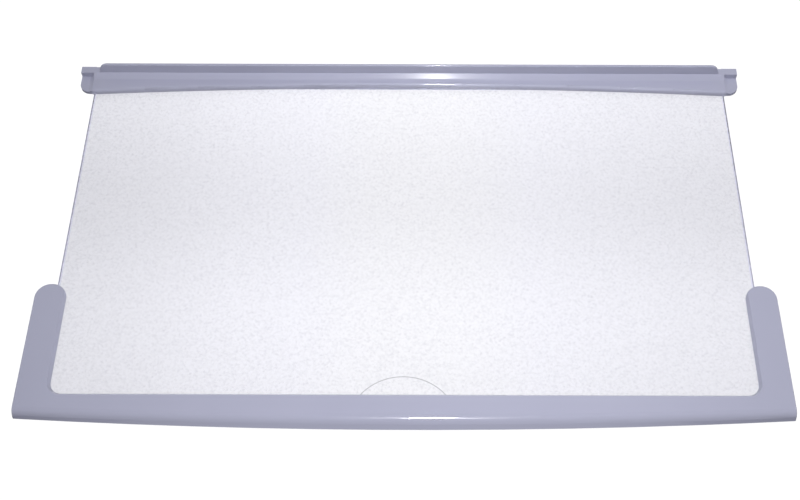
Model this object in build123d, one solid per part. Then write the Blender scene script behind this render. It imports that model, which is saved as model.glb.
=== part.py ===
from build123d import *
import math
import os

# A refrigerator shelf: a toughened glass plate with a moulded trim pushed on its front edge and
# another on its rear edge. X runs across the shelf, +Y towards the back of the refrigerator and
# +Z up. The origin is under the middle of the shelf, level with the undersides of the trims.
# All sizes are in millimetres.

# Glass plate
glass_width = 489.0
glass_depth = 279.0
glass_thickness = 4.0
glass_corner_radius = 3.0
glass_arris = 0.4             # ground bevel along every edge of the plate
glass_gap = 0.2               # clearance between the glass and each wall of its channels

# Walls shared by the two trims
flange_thickness = 3.2        # flange under the glass, whose underside runs on the rails
wall = 2.5                    # moulded wall of the trims
channel_wall = 2.0            # wall at the bottom of each glass channel
rib_thickness = 1.6           # stiffening ribs inside the hollow undersides
rib_clear = 1.5               # the ribs stop this far above the underside
core_radius = 0.6             # least rounding inside the hollow undersides
crown_flat = 0.4              # flat left between two roundings that all but meet

# Front trim
front_lip = 2.8               # thickness of the lip over the glass
front_cover = 8.2             # how far the lip covers the front edge of the glass
lip_bevel = 1.8               # the inner edge of the lip slopes back this far over its height
nose_reach = 15.8             # front edge of the glass to the lower edge of the nose, at mid-width
nose_bow = 7.25               # the nose stands this far ahead of its own ends at mid-width
nose_drop = 6.2               # height of the rounded front of the nose
nose_radius = 9.0             # rounding at the top of that front, at mid-width
nose_slope = 50.0             # degrees from level of the front below the rounding, at mid-width
end_radius = 6.2              # the same rounding at the ends of the nose
end_slope = 67.0              # degrees from level of the same slope at the ends of the nose
nose_crest = 0.02             # the rounding would crest this far above the flat top that cuts it off
nose_flare = 0.5              # the nose is wider than the tips of the arms by this much a side
nose_rib_count = 7
arm_length = 83.6             # reach of the arms behind the front lip
arm_side = 13.6               # side edge of the glass to the outer side of the arm at its tip
arm_cover = 7.9               # how far the arm's lip covers the side edge of the glass
arm_rib_count = 3
inner_corner_radius = 8.0     # where the arms meet the front lip
front_edge_radius = 0.7       # rounding of the upper outer edges
flange_setback = 2.5          # the flange under the glass is this much shorter than the lip

# Rear trim
rear_lip = 4.0                # thickness of the lip over the glass
rear_cover = 14.2             # how far the lip covers the rear edge of the glass at its ends
rear_lip_curve = 6.9          # the edge of the lip is hollowed by this much at mid-width
rear_lip_draft = 0.8          # the edge of the lip leans back this far over its height
rear_lip_radius = 2.2         # rounding along the top of that edge
rear_flange_cover = 3.5       # how far the flange reaches under the rear edge of the glass
rear_reach = 10.6             # rear edge of the glass to the back of the trim
rear_end_gap = 0.8            # the strip is this much longer than the glass at each end
rear_rib_count = 9
slope_angle = 37.0            # degrees that the top of the strip slopes up to the upstand
slope_rise = 3.1              # height of that slope
slope_blend = 3.0             # rounding where it leaves the flat lip
upstand_height = 11.8         # above the lip
upstand_thickness = 2.2
upstand_setback = 6.3         # behind the upstand, to the back of the trim
upstand_end_gap = 3.1         # the foot of the upstand stops this far short of the strip's ends
upstand_end_lean = 4.2        # the ends of the upstand lean in by this much over its height
upstand_corner_radius = 6.2   # upper corners of the upstand
ledge_drop = 0.2              # top of the back rail below the top of the lip
lug_reach = 11.0              # the end lugs stand this far outside the strip
lug_thickness = 2.5
lug_rib_depth = 6.1           # thickness of the rib along the back of each lug
lug_drop = 0.6                # top of the lugs below the underside of the lip
lug_setback = 3.0             # front edge of the lugs behind the edge of the lip
lug_corner_radius = 8.0
shoulder_width = 4.3          # sloping shoulder along each lug, beside the strip
shoulder_rise = 2.0

# Places worked out from the sizes above
glass_half = glass_width / 2
glass_height = flange_thickness + glass_gap
glass_top = glass_height + glass_thickness
channel_high = glass_top + glass_gap
front_top = channel_high + front_lip
rear_top = channel_high + rear_lip
upstand_top = rear_top + upstand_height
ledge_top = rear_top - ledge_drop
lug_top = channel_high - lug_drop

overall_depth = nose_reach + glass_depth + rear_reach
nose_front = -overall_depth / 2
back_face = overall_depth / 2
glass_front = nose_front + nose_reach
glass_rear = back_face - rear_reach
front_lip_edge = glass_front + front_cover
arm_tip = front_lip_edge + arm_length
arm_half = glass_half + arm_side
nose_half = arm_half + nose_flare
opening_half = glass_half - arm_cover
channel_half = glass_half + glass_gap
strip_half = glass_half + rear_end_gap
strip_front = glass_rear - rear_cover
upstand_front = back_face - upstand_setback - upstand_thickness
lug_half = strip_half + lug_reach
lug_front = strip_front + lug_setback
lug_rib_front = back_face - lug_rib_depth
front_wall_edge = glass_front - glass_gap - channel_wall
rear_wall_edge = glass_rear + glass_gap + channel_wall
nose_end = nose_front + nose_bow
nose_low = front_top - nose_drop
tip_radius = (arm_half - opening_half - crown_flat) / 2
core_half = glass_half - wall


def arc_radius(half_chord, rise):
    """Radius of the arc that rises this far over a chord of twice half_chord."""
    return (half_chord ** 2 + rise ** 2) / (2 * rise)


def block(x_range, y_range, z_range):
    """A box between two limits on each axis."""
    sizes = [high - low for low, high in (x_range, y_range, z_range)]
    middle = [(low + high) / 2 for low, high in (x_range, y_range, z_range)]
    return Pos(*middle) * Box(*sizes)


def prism(plan, z_low, z_high):
    """A plan outline raised between two heights."""
    return extrude(Pos(0, 0, z_low) * plan, amount=z_high - z_low, dir=(0, 0, 1))


def across(face, half_width):
    """A section in the plane X = 0 extended to both sides."""
    return extrude(face, amount=half_width, both=True, dir=(1, 0, 0))


def bowed(face, centre_y, half_width):
    """A section in the plane X = 0 swept to both sides about the upright axis at centre_y."""
    axis = Axis((0, centre_y, 0), (0, 0, 1))
    nearest = min(abs(vertex.Y - centre_y) for vertex in face.vertices())
    half_angle = math.degrees(math.asin(half_width / nearest))
    return revolve(face, axis, 2 * half_angle).rotate(axis, -half_angle)


def make_glass():
    """The glass plate, with rounded corners and a ground bevel on its edges."""
    plate = block((-glass_half, glass_half), (glass_front, glass_rear), (glass_height, glass_top))
    plate = fillet(plate.edges().filter_by(Axis.Z), glass_corner_radius)
    rims = plate.faces().sort_by(Axis.Z)[0].edges() + plate.faces().sort_by(Axis.Z)[-1].edges()
    return chamfer(rims, glass_arris)


def nose_section(x, front, radius, slope, inset, low):
    """Section of the front trim, set in by a wall: flat top, rounding and a sloping front down to low."""
    turn = math.radians(slope)
    top = front_top + nose_crest - inset
    centre = front_top + nose_crest - radius
    fall = centre + radius * math.cos(turn) - nose_low
    crown_edge = front + radius * math.sin(turn) + fall / math.tan(turn)
    inner = radius - inset
    bend = Vector(x, crown_edge - inner * math.sin(turn), centre + inner * math.cos(turn))
    foot = Vector(x, bend.Y - (bend.Z - low) / math.tan(turn), low)
    crown = Line((x, arm_tip, top), (x, crown_edge, top))
    shoulder = TangentArc(crown @ 1, bend, tangent=(0, -1, 0))
    rest = Polyline(bend, foot, (x, arm_tip, low), crown @ 0)
    return make_face([crown, shoulder, rest])


def nose_form(inset, low):
    """The front trim's section swept across it: the nose bows forward and its front eases to mid-width."""
    reach = nose_half + wall
    end_front = nose_front + nose_bow * (reach / nose_half) ** 2
    left = nose_section(-reach, end_front, end_radius, end_slope, inset, low)
    middle = nose_section(0, nose_front, nose_radius, nose_slope, inset, low)
    right = nose_section(reach, end_front, end_radius, end_slope, inset, low)
    return loft([left, middle, right])


def arm_opening(grow):
    """Plan of the open space between the arms, grown by a margin, with its front corners rounded."""
    half = opening_half + grow
    front = front_lip_edge - grow
    back = arm_tip + arm_length
    opening = Pos(0, (front + back) / 2) * Rectangle(2 * half, back - front)
    return fillet(opening.vertices().group_by(Axis.Y)[0], inner_corner_radius + grow)


def lip_slope():
    """Space over the glass between the arms, widening upwards so that the lip has a sloping edge."""
    low = Pos(0, 0, channel_high) * arm_opening(0)
    high = Pos(0, 0, front_top + front_lip) * arm_opening(2 * lip_bevel)
    return loft([low, high])


def front_plan():
    """Plan of the front trim: a straight lip between two tapering arms with round tips."""
    right = [(nose_half, nose_front - nose_bow), (nose_half, nose_end), (arm_half, arm_tip)]
    left = [(-x, y) for x, y in reversed(right)]
    plan = make_face(Polyline(*right, *left, close=True)) - arm_opening(0)
    return fillet(plan.vertices().group_by(Axis.Y)[-1], tip_radius)


def arm_side_at(y):
    """Half width over the tapering outer sides of the arms at a place along them."""
    return nose_half - nose_flare * (y - nose_end) / (arm_tip - nose_end)


def front_body():
    """Outer form of the front trim, with a rounded rim and a sloping inner edge to its lip."""
    reach = nose_half + wall
    below = block((-reach, reach), (front_wall_edge, arm_tip), (0, nose_low + wall))
    body = (nose_form(0, nose_low) + below) & prism(front_plan(), 0, front_top)
    crown = body.faces().sort_by(Axis.Z)[-1]
    rim = crown.edges().sort_by(Axis.Y)[1:]
    return fillet(rim, front_edge_radius) - lip_slope()


def nose_hollow():
    """Hollow between the front of the nose and the glass channel, open below."""
    inside = block((-core_half, core_half), (nose_front, front_wall_edge), (0, front_top))
    return nose_form(wall, 0) & inside


def nose_ribs():
    """Upright ribs that tie the front of the nose to the channel wall, evenly spaced."""
    inside = nose_form(wall / 2, 0)
    half = rib_thickness / 2
    anchor = front_wall_edge + channel_wall / 2
    pitch = 2 * core_half / (nose_rib_count + 1)
    places = [-core_half + pitch * (index + 1) for index in range(nose_rib_count)]
    heights = (nose_low + rib_clear, front_top)
    return [
        inside & block((x - half, x + half), (nose_front, anchor), heights)
        for x in places
    ]


def arm_hollow():
    """Hollow outside the glass channel in the right-hand arm, open below."""
    inner = channel_half + channel_wall
    front = glass_front
    back = arm_tip - tip_radius
    plan = make_face(Polyline(
        (inner, front), (arm_side_at(front) - wall, front),
        (arm_side_at(back) - wall, back), (inner, back), close=True,
    ))
    return prism(fillet(plan.vertices(), core_radius), 0, front_top - wall)


def arm_ribs():
    """Cross ribs in the right-hand arm's hollow, evenly spaced."""
    inner = channel_half + channel_wall / 2
    pitch = (arm_tip - tip_radius - glass_front) / (arm_rib_count + 1)
    places = [glass_front + pitch * (index + 1) for index in range(arm_rib_count)]
    half = rib_thickness / 2
    return [
        block((inner, arm_side_at(y) - wall / 2), (y - half, y + half), (rib_clear, front_top - wall / 2))
        for y in places
    ]


def make_front_trim():
    """The front trim: hollow nose, arms round the glass corners and a channel for the glass."""
    hollow = arm_hollow()
    trim = front_body() - nose_hollow() - hollow - mirror(hollow, Plane.YZ)
    ribs = arm_ribs()
    for rib in nose_ribs() + ribs + [mirror(rib, Plane.YZ) for rib in ribs]:
        trim += rib
    channel = block(
        (-channel_half, channel_half), (glass_front - glass_gap, arm_tip), (flange_thickness, channel_high)
    )
    return trim - channel - prism(arm_opening(flange_setback), 0, flange_thickness)


def strip_profile():
    """Section of the rear trim below the upstand: flat lip, slope up to the upstand and back rail."""
    slope_foot = upstand_front - slope_rise / math.tan(math.radians(slope_angle))
    face = make_face(Polyline(
        (0, strip_front, 0), (0, strip_front, rear_top), (0, slope_foot, rear_top),
        (0, upstand_front, rear_top + slope_rise), (0, upstand_front, ledge_top),
        (0, back_face, ledge_top), (0, back_face, 0), close=True,
    ))
    face = fillet(face.vertices().sort_by_distance((0, slope_foot, rear_top))[0], slope_blend)
    return fillet(face.vertices().sort_by_distance((0, back_face, ledge_top))[0], core_radius)


def make_upstand():
    """The upstand: a thin wall with leaning ends, rounded corners and rounded edges."""
    root = ledge_top - wall / 2
    foot = strip_half - upstand_end_gap
    crest = foot - upstand_end_lean
    outline = make_face(Polyline(
        (-foot, 0, root), (foot, 0, root),
        (crest, 0, upstand_top), (-crest, 0, upstand_top), close=True,
    ))
    outline = fillet(outline.vertices().group_by(Axis.Z)[-1], upstand_corner_radius)
    slab = extrude(Pos(0, upstand_front, 0) * outline, amount=upstand_thickness, dir=(0, 1, 0))
    upper = [edge for edge in slab.edges().filter_by(Axis.Y, reverse=True) if edge.center().Z > root]
    return fillet(upper, (upstand_thickness - crown_flat) / 2)


def hollow_lip(body):
    """The strip with the front edge of its lip hollowed along an arc, leaning and rounded on top."""
    middle = strip_front + rear_lip_curve
    ahead = middle - 2 * rear_cover
    over = rear_top + rear_lip
    cutter = make_face(Polyline(
        (0, ahead, 0), (0, middle, 0), (0, middle, channel_high),
        (0, middle + 2 * rear_lip_draft, over), (0, ahead, over), close=True,
    ))
    body -= bowed(cutter, middle - arc_radius(strip_half, rear_lip_curve), strip_half)
    top = body.faces().filter_by(Axis.Z).sort_by_distance((0, middle, rear_top))[0]
    return fillet(top.edges().sort_by_distance((0, middle, rear_top))[0], rear_lip_radius)


def strip_hollow():
    """Hollow behind the glass channel, open below."""
    reach = strip_half - wall
    return block((-reach, reach), (rear_wall_edge, back_face - wall), (0, ledge_top - wall))


def strip_ribs():
    """Upright ribs that tie the back of the strip to the channel wall, evenly spaced."""
    reach = strip_half - wall
    half = rib_thickness / 2
    depth = (rear_wall_edge - channel_wall / 2, back_face - wall / 2)
    pitch = 2 * reach / (rear_rib_count + 1)
    places = [-reach + pitch * (index + 1) for index in range(rear_rib_count)]
    return [block((x - half, x + half), depth, (rib_clear, ledge_top - wall / 2)) for x in places]


def make_lug():
    """The right-hand end lug: a plate with a round corner, a shoulder, a web below and a back rib."""
    low = lug_top - lug_thickness
    plan = Pos((channel_half + lug_half) / 2, (lug_front + back_face) / 2)
    plan *= Rectangle(lug_half - channel_half, back_face - lug_front)
    corner = plan.vertices().sort_by_distance((lug_half, lug_front, 0))[0]
    plan = fillet(corner, lug_corner_radius)
    plate = prism(plan, low, lug_top)
    slope = make_face(Polyline(
        (channel_half, lug_front, low), (strip_half + shoulder_width, lug_front, low),
        (strip_half + shoulder_width, lug_front, lug_top),
        (strip_half, lug_front, lug_top + shoulder_rise),
        (channel_half, lug_front, lug_top + shoulder_rise), close=True,
    ))
    shoulder = extrude(slope, amount=lug_rib_front - lug_front, dir=(0, 1, 0))
    shoulder &= prism(plan, low, lug_top + shoulder_rise)
    web = block(
        (channel_half, channel_half + channel_wall), (glass_rear - rear_flange_cover, back_face), (0, low)
    )
    rib = block((channel_half, lug_half), (lug_rib_front, back_face), (low, ledge_top))
    return plate + shoulder + web + rib


def make_rear_trim():
    """The rear trim: strip with its channel for the glass, an upstand and a lug at each end."""
    trim = hollow_lip(across(strip_profile(), strip_half)) + make_upstand() - strip_hollow()
    for rib in strip_ribs():
        trim += rib
    channel = block(
        (-strip_half, strip_half), (strip_front, glass_rear + glass_gap), (flange_thickness, channel_high)
    )
    under = block(
        (-strip_half, strip_half), (strip_front, glass_rear - rear_flange_cover), (0, flange_thickness)
    )
    lug = make_lug()
    return trim - channel - under + lug + mirror(lug, Plane.YZ)


os.makedirs("parts", exist_ok=True)
for name, shape in (
    ("glass_panel", make_glass()),
    ("front_trim", make_front_trim()),
    ("rear_trim", make_rear_trim()),
):
    export_step(shape, os.path.join("parts", name + ".step"))
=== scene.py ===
import math
import bmesh
import bpy
from mathutils import Matrix, Vector


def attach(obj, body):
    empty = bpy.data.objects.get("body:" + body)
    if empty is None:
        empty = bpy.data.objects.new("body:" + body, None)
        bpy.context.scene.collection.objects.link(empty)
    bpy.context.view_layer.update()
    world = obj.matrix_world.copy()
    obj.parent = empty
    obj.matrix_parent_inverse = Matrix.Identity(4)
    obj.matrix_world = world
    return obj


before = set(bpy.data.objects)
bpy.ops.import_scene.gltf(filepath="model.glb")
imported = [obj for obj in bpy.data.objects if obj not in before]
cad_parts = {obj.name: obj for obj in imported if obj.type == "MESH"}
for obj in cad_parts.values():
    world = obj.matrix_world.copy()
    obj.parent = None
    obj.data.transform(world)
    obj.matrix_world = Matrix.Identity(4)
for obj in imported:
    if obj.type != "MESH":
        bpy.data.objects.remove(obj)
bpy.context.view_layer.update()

# Camera: where the photograph was taken from, in metres, degrees and pixels of the photograph
IMAGE_WIDTH = 800.0
FOCAL_PIXELS = 1247.0
CENTRE_SHIFT_PIXELS = 29.2
CAMERA_PLACE = Vector((0.0161, -0.4948, 0.7576))
CAMERA_PITCH = 57.362
CAMERA_ROLL = 0.177
SENSOR_WIDTH = 36.0

# Noise: the range in which most values of a noise texture lie
NOISE_LOW = 0.3
NOISE_HIGH = 0.7

# Plastic: its mottled colour, its gloss and its fine grain
PLASTIC_DARK = (0.365, 0.371, 0.486)
PLASTIC_PALE = (0.385, 0.391, 0.508)
MOTTLE_SCALE = 9.0
MOTTLE_DETAIL = 3.0
PLASTIC_SPECULAR = 0.22
POLISH_LOW = 0.065
POLISH_HIGH = 0.085
POLISH_SCALE = 60.0
POLISH_DETAIL = 4.0
GRAIN_SCALE = 1400.0
GRAIN_DETAIL = 1.0
GRAIN_STRENGTH = 0.02
GRAIN_HEIGHT = 0.0001

# Plastic: a faint wide sheen round its glints, more on the front trim than on the rear one
HAZE_FRONT = 0.18
HAZE_REAR = 0.05
HAZE_STEP = 0.01
HAZE_ROUGHNESS = 0.18

# Rear trim: painted shade and painted light in its tone, which run with height: painted shade at the foot
# of the lip, painted light over the slope, and a little painted shade on the upstand
REAR_PAINTED_LIGHT_AND_SHADE = [(0.0072, 1.0), (0.0076, 0.8), (0.0104, 1.0), (0.0122, 1.0), (0.0146, 1.08), (0.0148, 0.98),
             (0.0230, 1.0)]
# Half the width, between the tongues, over which the painted shade and light are laid on the rear trim
REAR_PAINTED_LIGHT_AND_SHADE_HALF = 0.243

# Glass: its top and half width in the frame, the tint of its side edges, and its stippled faces
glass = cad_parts["glass_panel"]
glass_corners = [glass.matrix_world @ Vector(corner) for corner in glass.bound_box]
GLASS_TOP = max(corner.z for corner in glass_corners)
GLASS_HALF = max(corner.x for corner in glass_corners)
EDGE_BAND = 0.0012
EDGE_TINT = (0.78, 0.78, 0.98, 1.0)
STIPPLE_TONES = [(0.30, (0.85, 0.85, 0.905)), (0.45, (0.925, 0.925, 0.967)), (0.6, (0.955, 0.955, 1.0))]
STIPPLE_SCALE = 500.0
STIPPLE_DETAIL = 1.0
STIPPLE_STRENGTH = 0.25
STIPPLE_HEIGHT = 0.0003
GLASS_ROUGHNESS = 0.12
GLASS_IOR = 1.5

# Ring: the thin line on the glass by the front trim, with the angles in degrees at which it starts and ends
RING_CENTRE = Vector((-0.001, -0.15205))
RING_RADIUS = 0.0367
RING_LINE = 0.0006
RING_THICKNESS = 0.00004
RING_FROM = 30
RING_TO = 150
RING_STEPS = 96
MARK_DARK = (0.36, 0.36, 0.42)
MARK_PALE = (0.46, 0.46, 0.52)
MARK_SCALE = 900.0
MARK_DETAIL = 2.0
MARK_ROUGHNESS = 0.6

# Ground: its own tone, its glow where it is seen, and the painted light and shade in that glow under the
# glass, which fall off across and along it
FLOOR_SIZE = 8.0
FLOOR_DROP = 0.0002
FLOOR_COLOUR = (0.06, 0.06, 0.06, 1.0)
FLOOR_GLOW = 1.0
FLOOR_THROUGH_GLASS = 0.915
FLOOR_TINT = (1.0, 1.0, 1.03)
FLOOR_PAINTED_FALLOFF_ACROSS = [(-0.25, 0.77), (-0.13, 0.92), (0.03, 1.0), (0.25, 0.85)]
FLOOR_PAINTED_FALLOFF_ALONG = [(-0.14, 0.89), (-0.06, 0.94), (0.035, 0.85), (0.14, 1.0)]

# Light: a dim sky, a small flash by the camera, a broad fill above, and low lamps for the sides and back
WHITE = (1.0, 1.0, 1.0, 1.0)
SKY_START = 0.3
SKY_HIGH = 0.26
SEEN_SKY = 1.0
FLASH_PLACE = (0.028, -0.4255, 0.7942)
FLASH_AIM = (0.028, 0.12, 0.0)
FLASH_SIZE = 0.02
FLASH_POWER = 2.95
FLASH_SPREAD = 120
FILL_PLACE = (0.14, 0.15, 0.5)
FILL_AIM = (0.14, 0.15, 0.0)
FILL_SIZE = 0.4
FILL_POWER = 0.76
RIM_LAMPS = [
    ("left", (-1.05, 0.25, 0.06), 2.2),
    ("right", (1.05, 0.25, 0.06), 2.2),
    ("back", (0.0, 1.1, 0.06), 3.0),
]
RIM_AIM = (0.0, 0.05, 0.01)
RIM_SIZE = 0.1


def make_camera():
    """The camera of the photograph, which looks down on the shelf from in front."""
    data = bpy.data.cameras.new("camera")
    data.sensor_width = SENSOR_WIDTH
    data.lens = FOCAL_PIXELS / IMAGE_WIDTH * SENSOR_WIDTH
    data.shift_x = -CENTRE_SHIFT_PIXELS / IMAGE_WIDTH
    camera = bpy.data.objects.new("camera", data)
    bpy.context.scene.collection.objects.link(camera)
    turn = Matrix.Rotation(math.radians(90 - CAMERA_PITCH), 4, "X")
    roll = Matrix.Rotation(math.radians(CAMERA_ROLL), 4, "Z")
    camera.matrix_world = Matrix.Translation(CAMERA_PLACE) @ turn @ roll
    bpy.context.scene.camera = camera


class Nodes:
    """Adds nodes to the tree of one material or world, and joins them."""

    def __init__(self, owner, space="Object"):
        owner.use_nodes = True
        self.tree = owner.node_tree
        self.place = self.add("ShaderNodeTexCoord").outputs[space]

    def join(self, value, socket):
        """Links another node's output to an input, or sets the input to a plain value."""
        if isinstance(value, bpy.types.NodeSocket):
            self.tree.links.new(value, socket)
        else:
            socket.default_value = value

    def feed(self, node, **inputs):
        """Joins values to a node's inputs by name, with an underscore for each space in a name."""
        for name, value in inputs.items():
            self.join(value, node.inputs[name.replace("_", " ")])

    def add(self, kind, **inputs):
        node = self.tree.nodes.new(kind)
        self.feed(node, **inputs)
        return node

    def show(self, shader, output="Material Output"):
        self.feed(self.tree.nodes[output], Surface=shader)

    def axis(self, name):
        return self.add("ShaderNodeSeparateXYZ", Vector=self.place).outputs[name]

    def ray(self, name):
        return self.add("ShaderNodeLightPath").outputs[name]

    def noise(self, scale, detail):
        node = self.add("ShaderNodeTexNoise", Vector=self.place, Scale=scale, Detail=detail)
        return node.outputs["Fac"]

    def bump(self, source, strength, height):
        node = self.add("ShaderNodeBump", Height=source, Strength=strength, Distance=height)
        return node.outputs["Normal"]

    def spread(self, source, low, high, start=NOISE_LOW, end=NOISE_HIGH):
        """A value that runs from low to high while the source runs from start to end."""
        node = self.add("ShaderNodeMapRange", Value=source)
        self.feed(node, From_Min=start, From_Max=end, To_Min=low, To_Max=high)
        return node.outputs["Result"]

    def ramp(self, source, stops, curve="LINEAR"):
        """A colour that runs through stops, each a value of the source from 0 to 1 and a colour."""
        node = self.add("ShaderNodeValToRGB", Fac=source)
        node.color_ramp.interpolation = curve
        points = node.color_ramp.elements
        while len(points) < len(stops):
            points.new(0.5)
        for point, (place, colour) in zip(points, stops):
            point.position = place
            point.color = (*colour, 1)
        return node.outputs["Color"]

    def mottle(self, scale, detail, dark, pale):
        return self.ramp(self.noise(scale, detail), [(NOISE_LOW, dark), (NOISE_HIGH, pale)])

    def falloff(self, axis, stops, colour=(1.0, 1.0, 1.0), curve="LINEAR"):
        """A colour whose tone runs along an axis through stops, each a place in metres and a tone."""
        start, end = stops[0][0], stops[-1][0]
        share = self.spread(self.axis(axis), 0.0, 1.0, start, end)
        return self.ramp(share, [((place - start) / (end - start), [tone * part for part in colour])
                                 for place, tone in stops], curve)

    def operate(self, operation, first, second, kind="ShaderNodeMath"):
        node = self.add(kind)
        node.operation = operation
        self.join(first, node.inputs[0])
        self.join(second, node.inputs[1])
        return node.outputs[0]

    def within(self, axis, half):
        """1 where the place on the axis is less than half away from the middle, and 0 elsewhere."""
        return self.operate("LESS_THAN", self.operate("ABSOLUTE", self.axis(axis), 0.0), half)

    def before_bounce(self):
        """1 for rays that no matt surface has scattered yet, and 0 for the others."""
        return self.operate("LESS_THAN", self.ray("Diffuse Depth"), 0.5)

    def mix(self, share, first, second, blend="MIX"):
        node = self.add("ShaderNodeMix")
        node.data_type = "RGBA"
        node.blend_type = blend
        self.feed(node, Factor=share, A=first, B=second)
        return node.outputs["Result"]

    def either(self, share, first, second):
        """The first shader where the share is 0, and the second where it is 1."""
        node = self.add("ShaderNodeMixShader", Fac=share)
        self.join(first.outputs[0], node.inputs[1])
        self.join(second.outputs[0], node.inputs[2])
        return node.outputs["Shader"]

    def both(self, first, second):
        """The sum of two shaders."""
        node = self.add("ShaderNodeAddShader")
        self.join(first.outputs[0], node.inputs[0])
        self.join(second.outputs[0], node.inputs[1])
        return node


def trim_plastic():
    """Glossy lavender grey plastic, with painted shade and painted light that run with height along the
    rear trim.
    """
    material = bpy.data.materials.new("trim_plastic")
    nodes = Nodes(material)
    colour = nodes.mottle(MOTTLE_SCALE, MOTTLE_DETAIL, PLASTIC_DARK, PLASTIC_PALE)
    # Between its tongues the rear trim gets painted shade and painted light multiplied into its colour, by
    # height
    behind = nodes.operate("GREATER_THAN", nodes.axis("Y"), 0.0)
    rear = nodes.operate("MULTIPLY", nodes.within("X", REAR_PAINTED_LIGHT_AND_SHADE_HALF), behind)
    grain = nodes.noise(GRAIN_SCALE, GRAIN_DETAIL)
    nodes.feed(
        nodes.tree.nodes["Principled BSDF"],
        Base_Color=nodes.mix(rear, colour, nodes.falloff("Z", REAR_PAINTED_LIGHT_AND_SHADE), "MULTIPLY"),
        Roughness=nodes.spread(nodes.noise(POLISH_SCALE, POLISH_DETAIL), POLISH_LOW, POLISH_HIGH),
        Normal=nodes.bump(grain, GRAIN_STRENGTH, GRAIN_HEIGHT),
        Specular_IOR_Level=PLASTIC_SPECULAR,
        Coat_Weight=nodes.spread(nodes.axis("Y"), HAZE_FRONT, HAZE_REAR, -HAZE_STEP, HAZE_STEP),
        Coat_Roughness=HAZE_ROUGHNESS)
    return material


def stippled_glass():
    """Clear glass with a fine stipple and bluish side edges, which lets light through without a shadow."""
    material = bpy.data.materials.new("stippled_glass")
    nodes = Nodes(material)
    stipple = nodes.noise(STIPPLE_SCALE, STIPPLE_DETAIL)
    face = nodes.within("X", GLASS_HALF - EDGE_BAND)
    surface = nodes.tree.nodes["Principled BSDF"]
    nodes.feed(
        surface,
        Base_Color=nodes.mix(face, EDGE_TINT, nodes.ramp(stipple, STIPPLE_TONES)),
        Normal=nodes.bump(stipple, STIPPLE_STRENGTH, STIPPLE_HEIGHT),
        Transmission_Weight=1.0,
        Roughness=GLASS_ROUGHNESS,
        IOR=GLASS_IOR)
    clear = nodes.add("ShaderNodeBsdfTransparent")
    nodes.show(nodes.either(nodes.ray("Is Shadow Ray"), surface, clear))
    return material


def etched_mark():
    """The matt grey of the ring on the glass."""
    material = bpy.data.materials.new("etched_mark")
    nodes = Nodes(material)
    nodes.feed(
        nodes.tree.nodes["Principled BSDF"],
        Base_Color=nodes.mottle(MARK_SCALE, MARK_DETAIL, MARK_DARK, MARK_PALE),
        Roughness=MARK_ROUGHNESS)
    return material


def dress(node, material):
    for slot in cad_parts[node].material_slots:
        slot.material = material


def make_ring(material):
    """The thin ring on the glass, a flat band whose ends run on under the front trim."""
    shape = bmesh.new()
    rows = []
    for step in range(RING_STEPS + 1):
        angle = math.radians(RING_FROM + (RING_TO - RING_FROM) * step / RING_STEPS)
        outward = Vector((math.cos(angle), math.sin(angle)))
        inner = RING_CENTRE + outward * (RING_RADIUS - RING_LINE / 2)
        outer = RING_CENTRE + outward * (RING_RADIUS + RING_LINE / 2)
        rows.append([shape.verts.new((*place, GLASS_TOP + rise)) for place, rise in (
            (inner, 0.0), (outer, 0.0), (outer, RING_THICKNESS), (inner, RING_THICKNESS))])
    for row, following in zip(rows, rows[1:]):
        for side in range(4):
            turned = (side + 1) % 4
            shape.faces.new((row[side], following[side], following[turned], row[turned]))
    shape.faces.new(rows[0][::-1])
    shape.faces.new(rows[-1])
    bmesh.ops.recalc_face_normals(shape, faces=shape.faces)
    mesh = bpy.data.meshes.new("etched_ring")
    shape.to_mesh(mesh)
    shape.free()
    mesh.materials.append(material)
    ring = bpy.data.objects.new("etched_ring", mesh)
    bpy.context.scene.collection.objects.link(ring)
    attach(ring, "root")
    ring.visible_shadow = False


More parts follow.
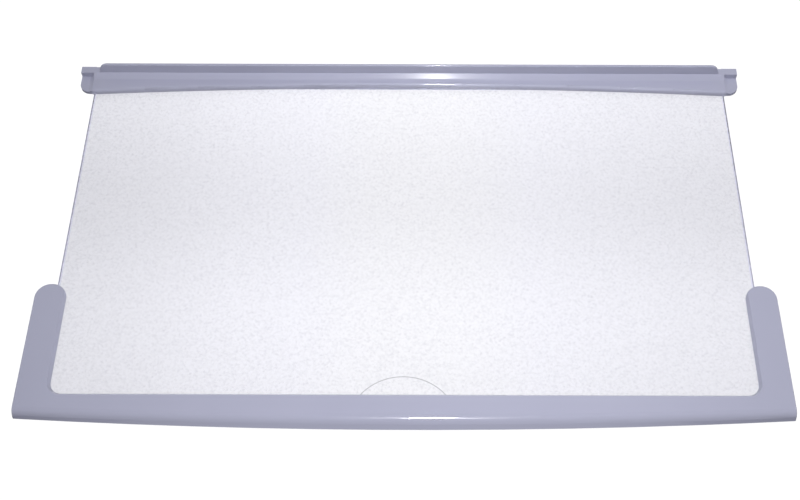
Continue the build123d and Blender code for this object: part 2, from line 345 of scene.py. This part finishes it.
def make_floor():
    """A dark ground that sends little light back, but glows where it is seen, so that it reads as white;
    under the glass the glow carries painted light and shade that fall off across and along it.
    """
    bpy.ops.mesh.primitive_plane_add(size=FLOOR_SIZE, location=(0, 0, -FLOOR_DROP))
    floor = bpy.context.object
    floor.name = "floor"
    material = bpy.data.materials.new("floor")
    nodes = Nodes(material)
    # Painted light and shade in the glow under the glass: darker towards the left and right sides, and in a
    # band across the shelf a little behind its middle
    across = nodes.falloff("X", FLOOR_PAINTED_FALLOFF_ACROSS, FLOOR_TINT, "CARDINAL")
    along = nodes.falloff("Y", FLOOR_PAINTED_FALLOFF_ALONG, curve="CARDINAL")
    tone = nodes.operate("MULTIPLY", across, along, "ShaderNodeVectorMath")
    through = nodes.operate("MULTIPLY", nodes.before_bounce(), nodes.ray("Is Transmission Ray"))
    glow_through = nodes.operate("MULTIPLY", through, FLOOR_THROUGH_GLASS)
    glow_direct = nodes.operate("MULTIPLY", nodes.ray("Is Camera Ray"), FLOOR_GLOW)
    under_glass = nodes.add("ShaderNodeEmission", Color=tone, Strength=glow_through)
    open_ground = nodes.add("ShaderNodeEmission", Color=WHITE, Strength=glow_direct)
    matt = nodes.add("ShaderNodeBsdfDiffuse", Color=FLOOR_COLOUR)
    nodes.show(nodes.both(nodes.both(matt, under_glass), open_ground).outputs["Shader"])
    floor.data.materials.append(material)


def make_world():
    """Dim light that grows with height, and plain white where the world is seen or mirrored."""
    world = bpy.data.worlds.new("world")
    bpy.context.scene.world = world
    nodes = Nodes(world, "Generated")
    sky = nodes.tree.nodes["Background"]
    nodes.feed(sky, Color=WHITE, Strength=nodes.spread(nodes.axis("Z"), 0.0, SKY_HIGH, SKY_START, 1.0))
    white = nodes.add("ShaderNodeBackground", Color=WHITE, Strength=SEEN_SKY)
    nodes.show(nodes.either(nodes.before_bounce(), sky, white), "World Output")


def make_lamp(name, place, target, size, power, spread=180, glints=True):
    """A round lamp with a spread in degrees. Without glints it isn't mirrored or seen through the glass."""
    data = bpy.data.lights.new(name, "AREA")
    data.shape = "DISK"
    data.energy = power
    data.size = size
    data.spread = math.radians(spread)
    lamp = bpy.data.objects.new(name, data)
    lamp.location = place
    lamp.rotation_euler = (Vector(target) - Vector(place)).to_track_quat("-Z", "Y").to_euler()
    lamp.visible_glossy = glints
    lamp.visible_transmission = glints
    bpy.context.scene.collection.objects.link(lamp)


make_camera()
plastic = trim_plastic()
dress("front_trim", plastic)
dress("rear_trim", plastic)
dress("glass_panel", stippled_glass())
make_ring(etched_mark())
make_floor()
make_world()
make_lamp("flash", FLASH_PLACE, FLASH_AIM, FLASH_SIZE, FLASH_POWER, FLASH_SPREAD)
make_lamp("fill", FILL_PLACE, FILL_AIM, FILL_SIZE, FILL_POWER, glints=False)
for name, place, power in RIM_LAMPS:
    make_lamp(name, place, RIM_AIM, RIM_SIZE, power, glints=False)
bpy.context.scene.view_settings.view_transform = "Standard"
